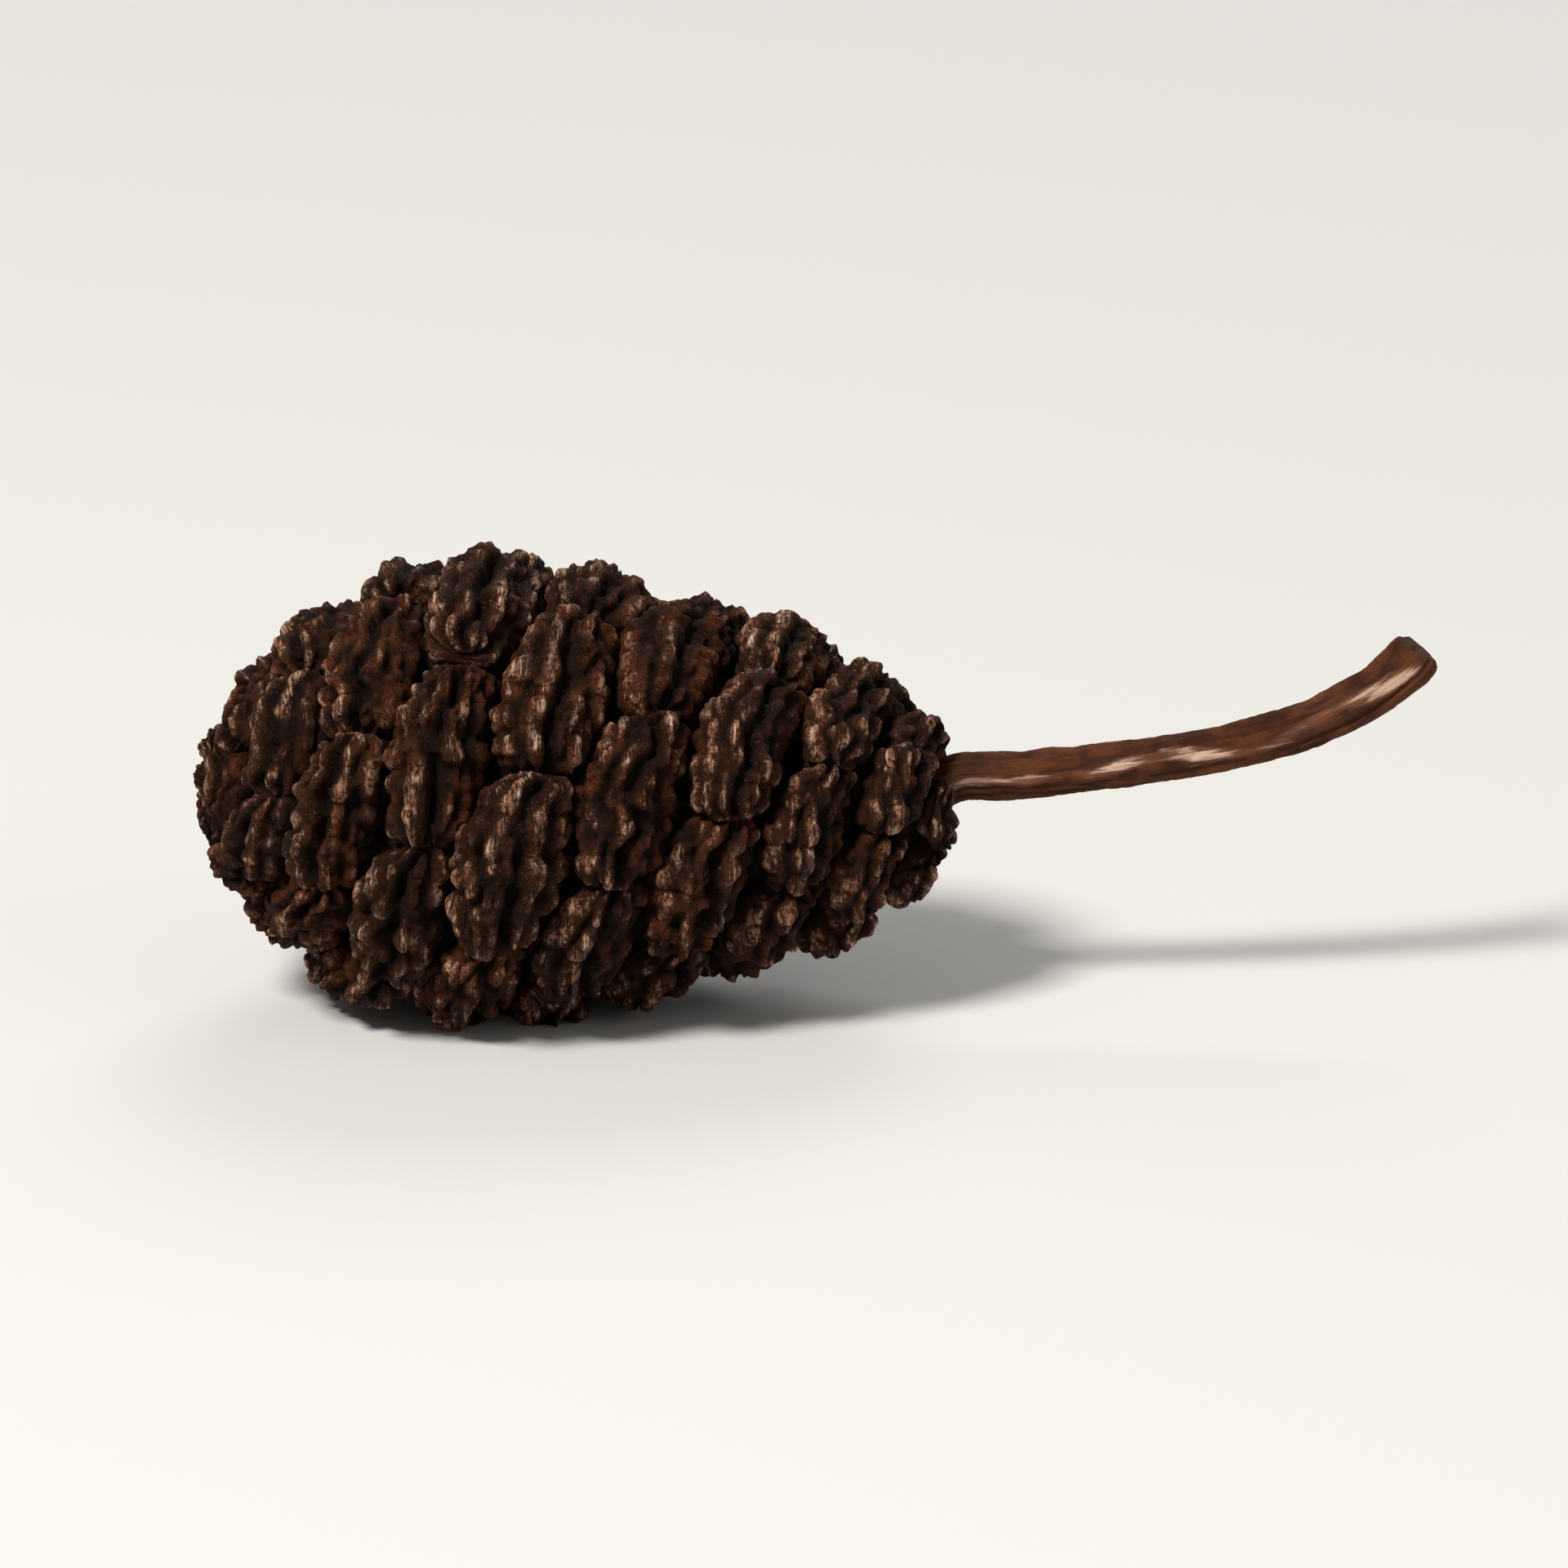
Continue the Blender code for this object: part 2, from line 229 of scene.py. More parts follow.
# Rubbed and bare bark in the pale strips, each with a painted highlight.
RUBBED_AND_HIGHLIGHT_BARK = (0.18, 0.075, 0.042, 1.0)
BARE_AND_HIGHLIGHT_BARK = (0.62, 0.42, 0.31, 1.0)
END_WOOD = (0.07, 0.036, 0.022, 1.0)
BUMP_HEIGHT = 0.06 * MM

# The camera, the floor and the backdrop.
ELEVATION = math.radians(17)
DISTANCE = 0.26
SHOWN_WIDTH = 38.5 * MM
LOOKED_AT = (5.8 * MM, 0.0, 5.6 * MM)
NEAREST_SEEN = 0.005
FARTHEST_SEEN = 20.0
FLOOR_HALF = 1.5
FLOOR_COLOUR = (0.64, 0.63, 0.61, 1.0)
BACKDROP_COLOUR = (0.96, 0.945, 0.93, 1.0)
BACKDROP_STRENGTH = 0.22


def outline():
    """The outline as arrays over its own length: place along the axis, radius and direction.

    Each side of the widest place is radius = widest * (1 - share^p)^q, where share is 1 at the
    cone's end and 0 at the widest place.
    """
    turn = np.linspace(0.0, math.pi, OUTLINE_STEPS)
    share = np.abs(np.cos(turn))
    near_stalk = turn < math.pi / 2
    reach = np.where(near_stalk, -WIDEST_AT, BODY_LENGTH - WIDEST_AT)
    p = np.where(near_stalk, STALK_SIDE_POWERS[0], TIP_SIDE_POWERS[0])
    q = np.where(near_stalk, STALK_SIDE_POWERS[1], TIP_SIDE_POWERS[1])
    along = WIDEST_AT + reach * share
    radius = BODY_RADIUS * np.maximum(1 - share**p, 0.0) ** q
    length = np.concatenate([[0.0], np.cumsum(np.hypot(np.diff(along), np.diff(radius)))])
    direction = np.unwrap(np.arctan2(np.gradient(radius, length), np.gradient(along, length)))
    return {"length": length, "along": along, "radius": radius, "direction": direction}


def scale_places(curve):
    """The place on the outline, by its length, and the rise to the next one, for every scale."""
    rise = RISE * np.maximum(curve["radius"] / BODY_RADIUS, LEAST_SHARE) ** RISE_POWER
    numbers = np.concatenate([[0.0], np.cumsum(2 * np.diff(curve["length"]) / (rise[1:] + rise[:-1]))])
    widest = int(np.argmax(curve["radius"]))
    first = np.interp(FIRST_RADIUS, curve["radius"][:widest], numbers[:widest])
    last = np.interp(-LAST_RADIUS, -curve["radius"][widest:], numbers[widest:])
    at = np.interp(np.arange(first, last), numbers, curve["length"])
    return at, np.interp(at, curve["length"], rise)


def size_at(radius):
    """How large a scale at this radius is beside one at the widest place."""
    return np.sqrt(radius / BODY_RADIUS)


def wrapped(angle):
    """The same angle, from -pi to pi."""
    return (angle + math.pi) % (2 * math.pi) - math.pi


def row_slope(radius, rise):
    """How much the rows of lips rise round the cone: every third scale where it is thick, every
    second where it is thin, and a blend of the two slopes between."""
    slopes = [step * rise / (radius * wrapped(step * GOLDEN_ANGLE)) for step in (NARROW_ROW, WIDE_ROW)]
    return slopes[0] + (slopes[1] - slopes[0]) * smooth_step(radius, *ROW_RADII)


def upper_edge(x, radius, rise):
    """How far a lip reaches towards the cone's tip at x, the place across its width, from its row.

    It ends halfway to its neighbours, where widths count for 1 / LIP_SHAPE of their length.
    """
    step = np.reshape(NEIGHBOURS, (-1,) + (1,) * np.ndim(x))
    side = radius * wrapped(step * GOLDEN_ANGLE)
    up = step * rise - row_slope(radius, rise) * side
    side = np.where(up < 0, -side, side) / LIP_SHAPE
    up = np.maximum(np.abs(up), LEAST_RISE)
    return np.min(((side**2 + up**2) / 2 - side * x / LIP_SHAPE) / up, axis=0)


def half_width(radius, rise):
    """Where the lip's upper and lower edges come within its end thickness of each other."""
    x = np.linspace(0.0, LONGEST_HALF * radius, WIDTH_STEPS)
    thickness = upper_edge(x, radius, rise) + upper_edge(-x, radius, rise)
    return np.interp(-(CRACK + 2 * LIP_END), -thickness, x) - CRACK / 2


def base_place(curve, lowest_at):
    """Where the axis ends at the stalk, with the lowest scale over the origin."""
    along = np.interp(lowest_at, curve["length"], curve["along"])
    radius = np.interp(lowest_at, curve["length"], curve["radius"])
    depths = curve["radius"] * math.cos(TILT) - curve["along"] * math.sin(TILT)
    return Vector((along * math.cos(TILT) + radius * math.sin(TILT), 0, np.max(depths) - WEAR))


def laid_down(points, base):
    """The cone's own points, with its axis along -X, moved to where the cone lies."""
    place = np.array(Matrix.Translation(base) @ Matrix.Rotation(TILT, 4, "Y"))
    return points @ place[:3, :3].T + place[:3, 3]


def smooth_step(value, start, end):
    """0 at start, 1 at end, and 3t^2 - 2t^3 between them."""
    share = np.clip((value - start) / (end - start), 0.0, 1.0)
    return share * share * (3 - 2 * share)


def random_at(cell, seed):
    """A number from -1 to 1 for each whole-number place: its coordinates, mixed bit by bit."""
    factors = np.array([73856093, 19349663, 83492791], dtype=np.uint32)
    mixed = np.bitwise_xor.reduce(cell.astype(np.uint32) * factors, axis=-1) + np.uint32(seed)
    mixed = (mixed ^ (mixed >> 16)) * np.uint32(0x85EBCA6B)
    mixed = (mixed ^ (mixed >> 13)) * np.uint32(0xC2B2AE35)
    mixed = mixed ^ (mixed >> 16)
    return mixed / 2.0**31 - 1


def noise(places, seed):
    """Smooth noise from -1 to 1: a random number at each whole-number place, blended between."""
    cell = np.floor(places)
    share = smooth_step(places - cell, 0.0, 1.0)
    cell = cell.astype(np.int64)
    total = np.zeros(places.shape[:-1])
    for corner in itertools.product((0, 1), repeat=3):
        weight = np.prod(np.where(corner, share, 1 - share), axis=-1)
        total += weight * random_at(cell + corner, seed)
    return total


def noise_at(x, y, z, seed):
    """Noise at three coordinates, of which each is an array or one number."""
    return noise(np.stack(np.broadcast_arrays(x, y, z), axis=-1), seed)


def pillows(places, seed):
    """Rounded swellings with narrow creases between them: 1 on top, 0 in a crease, less a middle
    value, so that they raise a surface about as much as they lower it."""
    height = np.minimum(np.abs(noise(places, seed)) * PILLOW_GAIN, 1.0) ** PILLOW_POWER
    return height - PILLOW_MIDDLE


def cobbles(places, seed):
    """Round grains, less a middle value: each is one minus the squared distance to the nearest of
    the points that are scattered, one in each cell."""
    home = np.floor(places).astype(np.int64)
    nearest = np.full(places.shape[:-1], COBBLE_REACH)
    for step in itertools.product((-1, 0, 1), repeat=3):
        cell = home + step
        shifts = [COBBLE_SCATTER * random_at(cell, seed + axis) for axis in range(3)]
        centre = cell + 0.5 + np.stack(shifts, axis=-1)
        nearest = np.minimum(nearest, np.sum((centre - places) ** 2, axis=-1))
    return 1 - nearest / COBBLE_REACH - COBBLE_MIDDLE


def normals_of(points):
    """Directions out of grids of points: the cross product of the steps along and round them."""
    along = np.gradient(points, axis=-3)
    around = np.roll(points, -1, axis=-2) - np.roll(points, 1, axis=-2)
    crossed = np.cross(around, along)
    return crossed / np.maximum(np.linalg.norm(crossed, axis=-1, keepdims=True), 1e-12)


def tube_faces(rings, sides):
    """Quads of a tube of rings, each end closed by strips between opposite points of its ring."""
    ring, side = np.meshgrid(np.arange(rings - 1), np.arange(sides), indexing="ij")
    here = ring * sides + side
    beside = ring * sides + (side + 1) % sides
    wall = np.stack([here, beside, beside + sides, here + sides], axis=-1).reshape(-1, 4)
    near = np.arange(sides // 2 - 1)
    cap = np.stack([near, near + 1, sides - 2 - near, sides - 1 - near], axis=-1)
    return np.concatenate([wall, cap[:, ::-1], cap + (rings - 1) * sides])


def tube_map(rings, sides):
    """Places from 0 to 1 for the corners of tube_faces, with a cap in the margin at each end."""
    ring, side = np.meshgrid(np.arange(rings - 1), np.arange(sides), indexing="ij")
    steps = np.array([(0, 0), (0, 1), (1, 1), (1, 0)])
    wall = np.stack([ring, side], axis=-1).reshape(-1, 1, 2) + steps
    wall = wall / (rings - 1, sides) * (1 - 2 * MAP_END, 1 - 2 * MAP_MARGIN) + (MAP_END, MAP_MARGIN)
    near = np.arange(sides // 2 - 1)
    strip = np.stack([near, near + 1, near + 1, near], axis=-1) / (sides / 2)
    outer, inner = MAP_MARGIN, MAP_END - MAP_MARGIN
    cap = np.stack([np.broadcast_to([outer, outer, inner, inner], strip.shape), strip], axis=-1)
    far = cap * (-1, 1) + (1, 0)
    return np.concatenate([wall, cap[:, ::-1], far])


def tube_piece(name, points, values, finish, node):
    """A piece made of one or several equal tubes: points are (tube, ring, side, xyz).

    values are numbers, or triples of them, at the points, which its material reads by name.
    """
    tubes, rings, sides = points.shape[:3]
    count = rings * sides
    faces = (tube_faces(rings, sides)[None] + np.arange(tubes)[:, None, None] * count).reshape(-1, 4)
    mesh = bpy.data.meshes.new(name)
    mesh.vertices.add(tubes * count)
    mesh.vertices.foreach_set("co", points.ravel())
    mesh.loops.add(faces.size)
    mesh.loops.foreach_set("vertex_index", faces.ravel())
    mesh.polygons.add(len(faces))
    mesh.polygons.foreach_set("loop_start", np.arange(0, faces.size, 4))
    mesh.update(calc_edges=True)
    mesh.shade_smooth()

    columns = math.ceil(math.sqrt(tubes))
    cell = np.stack([np.arange(tubes) % columns, np.arange(tubes) // columns], axis=-1)
    places = (tube_map(rings, sides)[None] + cell[:, None, None]) / columns
    mesh.uv_layers.new(name="OFBake").uv.foreach_set("vector", places.ravel().astype(np.float32))
    for key, value in values.items():
        kind = "FLOAT_VECTOR" if value.ndim == points.ndim else "FLOAT"
        field = "vector" if kind == "FLOAT_VECTOR" else "value"
        mesh.attributes.new(key, kind, "POINT").data.foreach_set(field, value.ravel())

    piece = bpy.data.objects.new(name, mesh)
    bpy.context.scene.collection.objects.link(piece)
    mesh.materials.append(finish)
    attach(piece, "root")
    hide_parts(node)


def lip_along(u, number, radius, rise, draws):
    """What changes along the lips, at u from -1 to 1: the place across the scale, the middle and
    half the thickness of the lip, and the depth of its outer surface.

    Noise along u makes the lobes, edges, thickness and reach uneven.
    """
    size = size_at(radius)
    wander = [
        noise_at(u * WANDERS_A_WIDTH, number * WANDER_SCALE_STEP, k * WANDER_STEP, k) for k in range(4)
    ]
    lobes = np.where(radius > SMALL_RADIUS, LOBES, SMALL_LOBES)
    wave = np.cos(lobes * math.pi / 2 * (u + LOBE_WANDER * wander[0]))
    lobe = np.sqrt((wave**2 + LOBE_SOFTNESS) / (1 + LOBE_SOFTNESS))

    x = u * np.array([half_width(*pair) for pair in zip(radius[:, 0], rise[:, 0])])[:, None]
    upper = upper_edge(x, radius, rise)
    lower = -upper_edge(-x, radius, rise)
    centre = (upper + lower) / 2 + LIP_ARCH * size * (0.5 - u**2) + EDGE_WANDER * size * wander[1]
    half = (upper - lower - CRACK) / 2 * (1 + THICKNESS_VARIATION * draws[:, 1:2])
    half = half * (1 - LOBE_WAIST * (1 - lobe)) * (1 + THICKNESS_WANDER * wander[2])
    half = half * (1 - (1 - LIP_END_SHARE) * np.abs(u) ** LIP_END_POWER)
    outer = LIP_DROOP * np.abs(u) ** LIP_DROOP_POWER - LOBE_HEIGHT * (lobe - 0.5)
    outer = size * (outer - REACH_VARIATION * draws[:, :1] - REACH_WANDER * wander[3])
    return x, centre, half, outer


def scale_sections(u, number, radius, rise, draws):
    """The sections of all scales: x, the place across a scale, as (scale, station), and the place
    along the outline, the depth below it and the place over the lip as (scale, station, side).

    Round a section, over goes from -1 to 1 across the lip, and up from 0 at the root to 1 at it.
    The lip is centre + half * over across, and its depth is outer + half * (roundness * (1 -
    crest) - rise * over), where |over|^n + crest^n = 1.
    """
    x, centre, half, outer = lip_along(u, number, radius, rise, draws)
    centre, half, outer, size = (part[..., None] for part in (centre, half, outer, size_at(radius)))

    side = np.arange(SIDE_POINTS) / SIDE_POINTS
    up = np.concatenate([side, np.ones(LIP_POINTS), side[::-1]])
    edge = np.ones(SIDE_POINTS)
    turn = np.linspace(-math.pi / 2, math.pi / 2, LIP_POINTS)
    over = np.abs(np.sin(turn)) ** (2 / LIP_SQUARENESS) * np.sign(turn)
    over = np.concatenate([-edge, over, edge])
    crest = np.concatenate([0 * edge, np.cos(turn).clip(0.0) ** (2 / LIP_SQUARENESS), 0 * edge])
    lip_across = centre + half * over
    lip_depth = outer + half * (LIP_ROUNDNESS * (1 - crest) - LIP_RISE * over)
    lean = np.tan(LEAN + LEAN_VARIATION * draws[:, 2])[:, None, None]
    root_depth = SCALE_DEPTH * size
    root_across = centre - root_depth * lean + np.sign(over) * np.maximum(ROOT_THICKNESS * half, LIP_END)
    across = root_across + (lip_across - root_across) * up**NECK_POWER
    across = across + (row_slope(radius, rise) * x)[..., None]
    depth = root_depth + (lip_depth - root_depth) * up
    return x, across, depth, over


def scale_relief(own, u, over, number, depth, size):
    """Height of the small forms on the scales: ridges, grains, wrinkles and grooves along the lip.

    A groove is -depth * exp(-((over - place) / width)^2), with a place and a depth that wander
    along u.  Everything fades towards the root.
    """
    height = RIDGE_HEIGHT * pillows(own / RIDGE_CELLS, RIDGE_SEED)
    height = height + GRAIN_HEIGHT * cobbles(own / GRAIN_CELLS, GRAIN_SEED)
    height = height + WRINKLE_HEIGHT * pillows(own / WRINKLE_CELLS, WRINKLE_SEED)
    height = height + FINE_HEIGHT * noise(own / FINE_CELL, FINE_SEED)
    grooves = zip(GROOVE_PLACES, GROOVE_WANDERS, GROOVE_WIDTHS, GROOVE_DEPTHS)
    for k, (place, wander, width, deep) in enumerate(grooves):
        shift, share = [
            noise_at(u * GROOVES_A_WIDTH, number * GROOVE_SCALE_STEP, step, GROOVE_SEED + k)
            for step in (0.0, GROOVE_STEP)
        ]
        far = (over - place - wander * shift) / width
        height = height - deep * (GROOVE_MEAN + GROOVE_VARIATION * share) * np.exp(-(far**2))
    exposed = smooth_step(depth, *EXPOSED_DEPTHS)
    return size * height * (LEAST_RELIEF + (1 - LEAST_RELIEF) * exposed)


def scale_pieces(curve, base, places, rises, lowest, finish):
    """All scales, turned about the axis so that the lowest one points straight down.

    Each piece holds one of the five spirals that wind round the cone.
    """
    count = len(places)
    draws = np.random.default_rng(VARIATION_SEED).uniform(-1.0, 1.0, (count, 3))
    others = np.random.default_rng(VARIATION_SEED + 1).uniform(-1.0, 1.0, (count, 1, 1))
    number = np.arange(count)[:, None]
    u = np.linspace(-1.0, 1.0, STATIONS)[None]
    radius = np.interp(places, curve["length"], curve["radius"])[:, None]
    x, across, depth, over = scale_sections(u, number, radius, rises[:, None], draws)

    place = np.clip(places[:, None, None] + across, 0.0, curve["length"][-1])
    slope = np.interp(place, curve["length"], curve["direction"])
    along = np.interp(place, curve["length"], curve["along"]) + depth * np.sin(slope)
    out = np.interp(place, curve["length"], curve["radius"]) - depth * np.cos(slope)
    turn = ((number - lowest) * GOLDEN_ANGLE - math.pi / 2 + x / radius)[..., None]
    points = laid_down(np.stack([-along, out * np.cos(turn), out * np.sin(turn)], axis=-1), base)

    shift = number[..., None] * SCALE_STEP
    own = np.stack([x[..., None] / MM + shift + 0 * depth, across / MM, depth / MM], axis=-1)
    size = size_at(radius)[..., None]
    relief = scale_relief(own, u[..., None], over, number[..., None], depth, size)
    points = points + normals_of(points) * relief[..., None]
    points[..., 2] = np.maximum(points[..., 2], 0.0)
    values = {
        "own": own,
        "cover": (depth - relief) / (MM * size),
        "relief": relief / (MM * size),
        "tone": np.broadcast_to(others, depth.shape),
    }
    for k in range(PIECES):
        kept = {key: value[k::PIECES] for key, value in values.items()}
        tube_piece(f"scales_spiral_{k + 1}", points[k::PIECES], kept, finish, "cone_scales")


def axis_piece(curve, base, finish):
    """The axis inside the scales: the outline, drawn in as far as the scales stand out of it.

    Both of its ends are domes: radius * sqrt(1 - share^2) over the last AXIS_END of its length.
    Its rings follow each other along -X, so they turn the other way round, with their faces out.
    """
    cover = AXIS_COVER * size_at(curve["radius"])
    along = curve["along"] + cover * np.sin(curve["direction"])
    radius = curve["radius"] - cover * np.cos(curve["direction"])
    least = np.where(along < WIDEST_AT, AXIS_STALK_RADIUS, AXIS_TIP_RADIUS)
    kept = np.flatnonzero(radius > least)
    picks = np.linspace(kept[0], kept[-1], AXIS_RINGS)
    steps = np.arange(len(radius))
    along = np.interp(picks, steps, along)
    radius = np.interp(picks, steps, radius)
    share = np.linspace(AXIS_LAST_SHARE, 0.0, AXIS_END_RINGS, endpoint=False)
    dome = np.sqrt(1 - share**2)
    along = np.concatenate([along[0] - AXIS_END * share, along, along[-1] + AXIS_END * share[::-1]])
    radius = np.concatenate([radius[0] * dome, radius, radius[-1] * dome[::-1]])

    turn = np.arange(AXIS_SIDES) * 2 * math.pi / AXIS_SIDES
    across = radius[:, None]
    x = np.broadcast_to(-along[:, None], (len(along), AXIS_SIDES))
    points = np.stack([x, across * np.cos(turn), -across * np.sin(turn)], axis=-1)
    own = points / MM
    relief = KNOB_HEIGHT * cobbles(own / KNOB_CELL, KNOB_SEED)
    relief = relief + PIT_HEIGHT * pillows(own / PIT_CELL, PIT_SEED)
    relief = relief * smooth_step(across, 0.0, AXIS_TIP_RADIUS)
    points = laid_down(points, base)
    points = points + normals_of(points) * relief[..., None]
    values = {
        # The axis lies as deep as the deepest cracks, so it is painted with their painted shade.
        "own": own,
        "cover": np.full(relief.shape, AXIS_SHADE_COVER),
        "relief": relief / MM,
        "tone": np.zeros(relief.shape),
    }
    values = {key: value[None] for key, value in values.items()}
    tube_piece("axis", points[None], values, finish, "cone_scales")


def stalk_line(base, reach):
    """The middle of the stalk at these distances along the axis, and the directions to its left and
    up, square to it.

    It lifts as a power of the way along, and hooks up at its end as a higher power.
    """
    share = np.clip(reach / STALK_LENGTH, 0.0, None)
    raised = STALK_RAISE * smooth_step(reach, -SOCKET_DEPTH, STALK_RAISE_LENGTH - SOCKET_DEPTH)
    lift = STALK_LIFT * share**STALK_LIFT_POWER + STALK_HOOK * share**STALK_HOOK_POWER
    lift = raised + lift - reach * (1 - share) * math.sin(TILT)
    side = STALK_SIDE_BEND * share**STALK_SIDE_POWER
    line = np.array(base) + np.stack([reach, side, lift], axis=-1)
    ahead = np.gradient(line, axis=0)
    ahead /= np.linalg.norm(ahead, axis=-1, keepdims=True)
    left = np.cross([0.0, 0.0, 1.0], ahead)
    left /= np.linalg.norm(left, axis=-1, keepdims=True)
    return line, left, np.cross(ahead, left)


def stalk_radius(reach):
    """The radius of the stalk: larger at its far end, where it is broken off, and there it falls
    off as (1 - share^3)^(1/3)."""
    share = np.clip(reach / STALK_LENGTH, 0.0, None)
    radius = STALK_RADIUS + (STALK_END_RADIUS - STALK_RADIUS) * share**STALK_END_POWER
    end = np.clip(1 - (STALK_LENGTH - reach) / STALK_END_ROUNDING, 0.0, STALK_LAST_SHARE)
    return radius * (1 - end**3) ** (1 / 3)


def stalk_peel_and_highlight(reach, turn):
    """How pale the bark is rubbed, with a painted highlight: strips along the stalk that wander round it
    and come and go.
    """
    peel_and_highlight = np.zeros((len(reach), len(turn)))
    for k, (place, width) in enumerate(zip(PEEL_HIGHLIGHT_PLACES, PEEL_HIGHLIGHT_WIDTHS)):
        drift, strength = [
            noise_at(reach[:, None] / MM / cell, PEEL_HIGHLIGHT_STEP * k, 0.0, PEEL_HIGHLIGHT_SEED) for cell in PEEL_HIGHLIGHT_CELLS
        ]
        off = wrapped(turn - place - PEEL_HIGHLIGHT_WANDER * drift) / width
        peel_and_highlight = np.maximum(peel_and_highlight, (PEEL_HIGHLIGHT_MEAN + PEEL_HIGHLIGHT_VARIATION * strength) * np.exp(-(off**2)))
    faded = smooth_step(reach, STALK_LENGTH, STALK_LENGTH - PEEL_HIGHLIGHT_END)
    faded = faded * (PEEL_HIGHLIGHT_AT_BASE + (1 - PEEL_HIGHLIGHT_AT_BASE) * smooth_step(reach, *PEEL_HIGHLIGHT_BASE))
    return peel_and_highlight * faded[:, None]


def stalk_piece(base, finish):
    """The stalk: rings square to its line, with ridges and furrows along it."""
    reach = np.linspace(-SOCKET_DEPTH, STALK_LENGTH, STALK_RINGS)
    line, left, up = stalk_line(base, reach)
    radius = stalk_radius(reach)
    turn = np.arange(STALK_SIDES) * 2 * math.pi / STALK_SIDES
    round_it = left[:, None] * np.cos(turn)[:, None] + up[:, None] * np.sin(turn)[:, None]
    points = line[:, None] + radius[:, None, None] * round_it
    far = np.broadcast_to(reach[:, None] / MM, (STALK_RINGS, STALK_SIDES))
    across = radius[:, None] / MM
    own = np.stack([far, across * np.cos(turn), across * np.sin(turn)], axis=-1)
    relief = FURROW_HEIGHT * pillows(own / FURROW_CELLS, FURROW_SEED)
    relief = relief + FIBRE_HEIGHT * pillows(own / FIBRE_CELLS, FIBRE_SEED)
    relief = relief + LUMP_HEIGHT * noise(own / LUMP_CELLS, LUMP_SEED)
    relief = relief + BARK_GRAIN_HEIGHT * noise(own / BARK_GRAIN_CELL, BARK_GRAIN_SEED)
    points = points + normals_of(points) * relief[..., None]
    peel_and_highlight = stalk_peel_and_highlight(reach, turn)
    values = {"own": own, "relief": relief / MM, "reach": far, "peel_and_highlight": peel_and_highlight}
    values = {key: value[None] for key, value in values.items()}
    tube_piece("stalk_bark", points[None], values, finish, "stalk")


class Value:
    """What a node gives out.  Arithmetic on it adds Math nodes."""

    def __init__(self, finish, socket):
        self.finish = finish
        self.socket = socket

    def maths(self, operation, *values):
        sockets = dict(enumerate(values))
        return self.finish.node("ShaderNodeMath", {"operation": operation}, sockets)

    def __add__(self, other):
        return self.maths("ADD", self, other)

    def __sub__(self, other):
        return self.maths("SUBTRACT", self, other)

    def __rsub__(self, other):
        return self.maths("SUBTRACT", other, self)

    def __mul__(self, other):
        return self.maths("MULTIPLY", self, other)

    def __abs__(self):
        return self.maths("ABSOLUTE", self)

    __radd__ = __add__

    def between(self, low, high):
        """0 below low, 1 above high, and a smooth step between them.  high may be the lower one."""
        settings = {"interpolation_type": "SMOOTHSTEP"}
        return self.finish.node("ShaderNodeMapRange", settings, {0: self, 1: low, 2: high})


class Finish:
    """A material, with one method that makes any of its nodes."""

    def __init__(self, name):
        self.material = bpy.data.materials.new(name)
        self.material.use_nodes = True
        self.tree = self.material.node_tree
        self.shader = self.tree.nodes["Principled BSDF"]

    def node(self, kind, settings, sockets, output=0):
        """A node of this kind: its settings, then the values or links of its sockets."""
        made = self.tree.nodes.new(kind)
        for name, value in settings.items():
            setattr(made, name, value)
        for socket, value in sockets.items():
            self.feed(made.inputs[socket], value)
        return Value(self, made.outputs[output])

    def feed(self, socket, value):
        if isinstance(value, Value):
            self.tree.links.new(value.socket, socket)
        else:
            socket.default_value = value

    def set(self, **values):
        """Values or links of the shader's own sockets, such as Base_Color."""
        for name, value in values.items():
            self.feed(self.shader.inputs[name.replace("_", " ")], value)

    def attribute(self, name, output="Fac"):
        return self.node("ShaderNodeAttribute", {"attribute_name": name}, {}, output)

    def stretched(self, vector, sizes):
        """A vector divided by the sizes, so that noise on it has cells as large as they are."""
        factors = tuple(1 / size for size in sizes)
        return self.node("ShaderNodeVectorMath", {"operation": "MULTIPLY"}, {0: vector, 1: factors})

    def noise(self, vector, sizes, detail=3.0, roughness=0.6):
        """Noise from 0 to 1, with cells of these sizes."""
        sockets = {"Vector": self.stretched(vector, sizes), "Scale": 1.0}
        sockets |= {"Detail": detail, "Roughness": roughness}
        return self.node("ShaderNodeTexNoise", {}, sockets)

    def mix(self, share, first, second):
        """The first colour where share is 0 and the second where it is 1."""
        settings = {"data_type": "RGBA", "clamp_factor": True}
        return self.node("ShaderNodeMix", settings, {0: share, 6: first, 7: second}, 2)

    def bump(self, height, distance):
        return self.node("ShaderNodeBump", {}, {"Height": height, "Distance": distance})


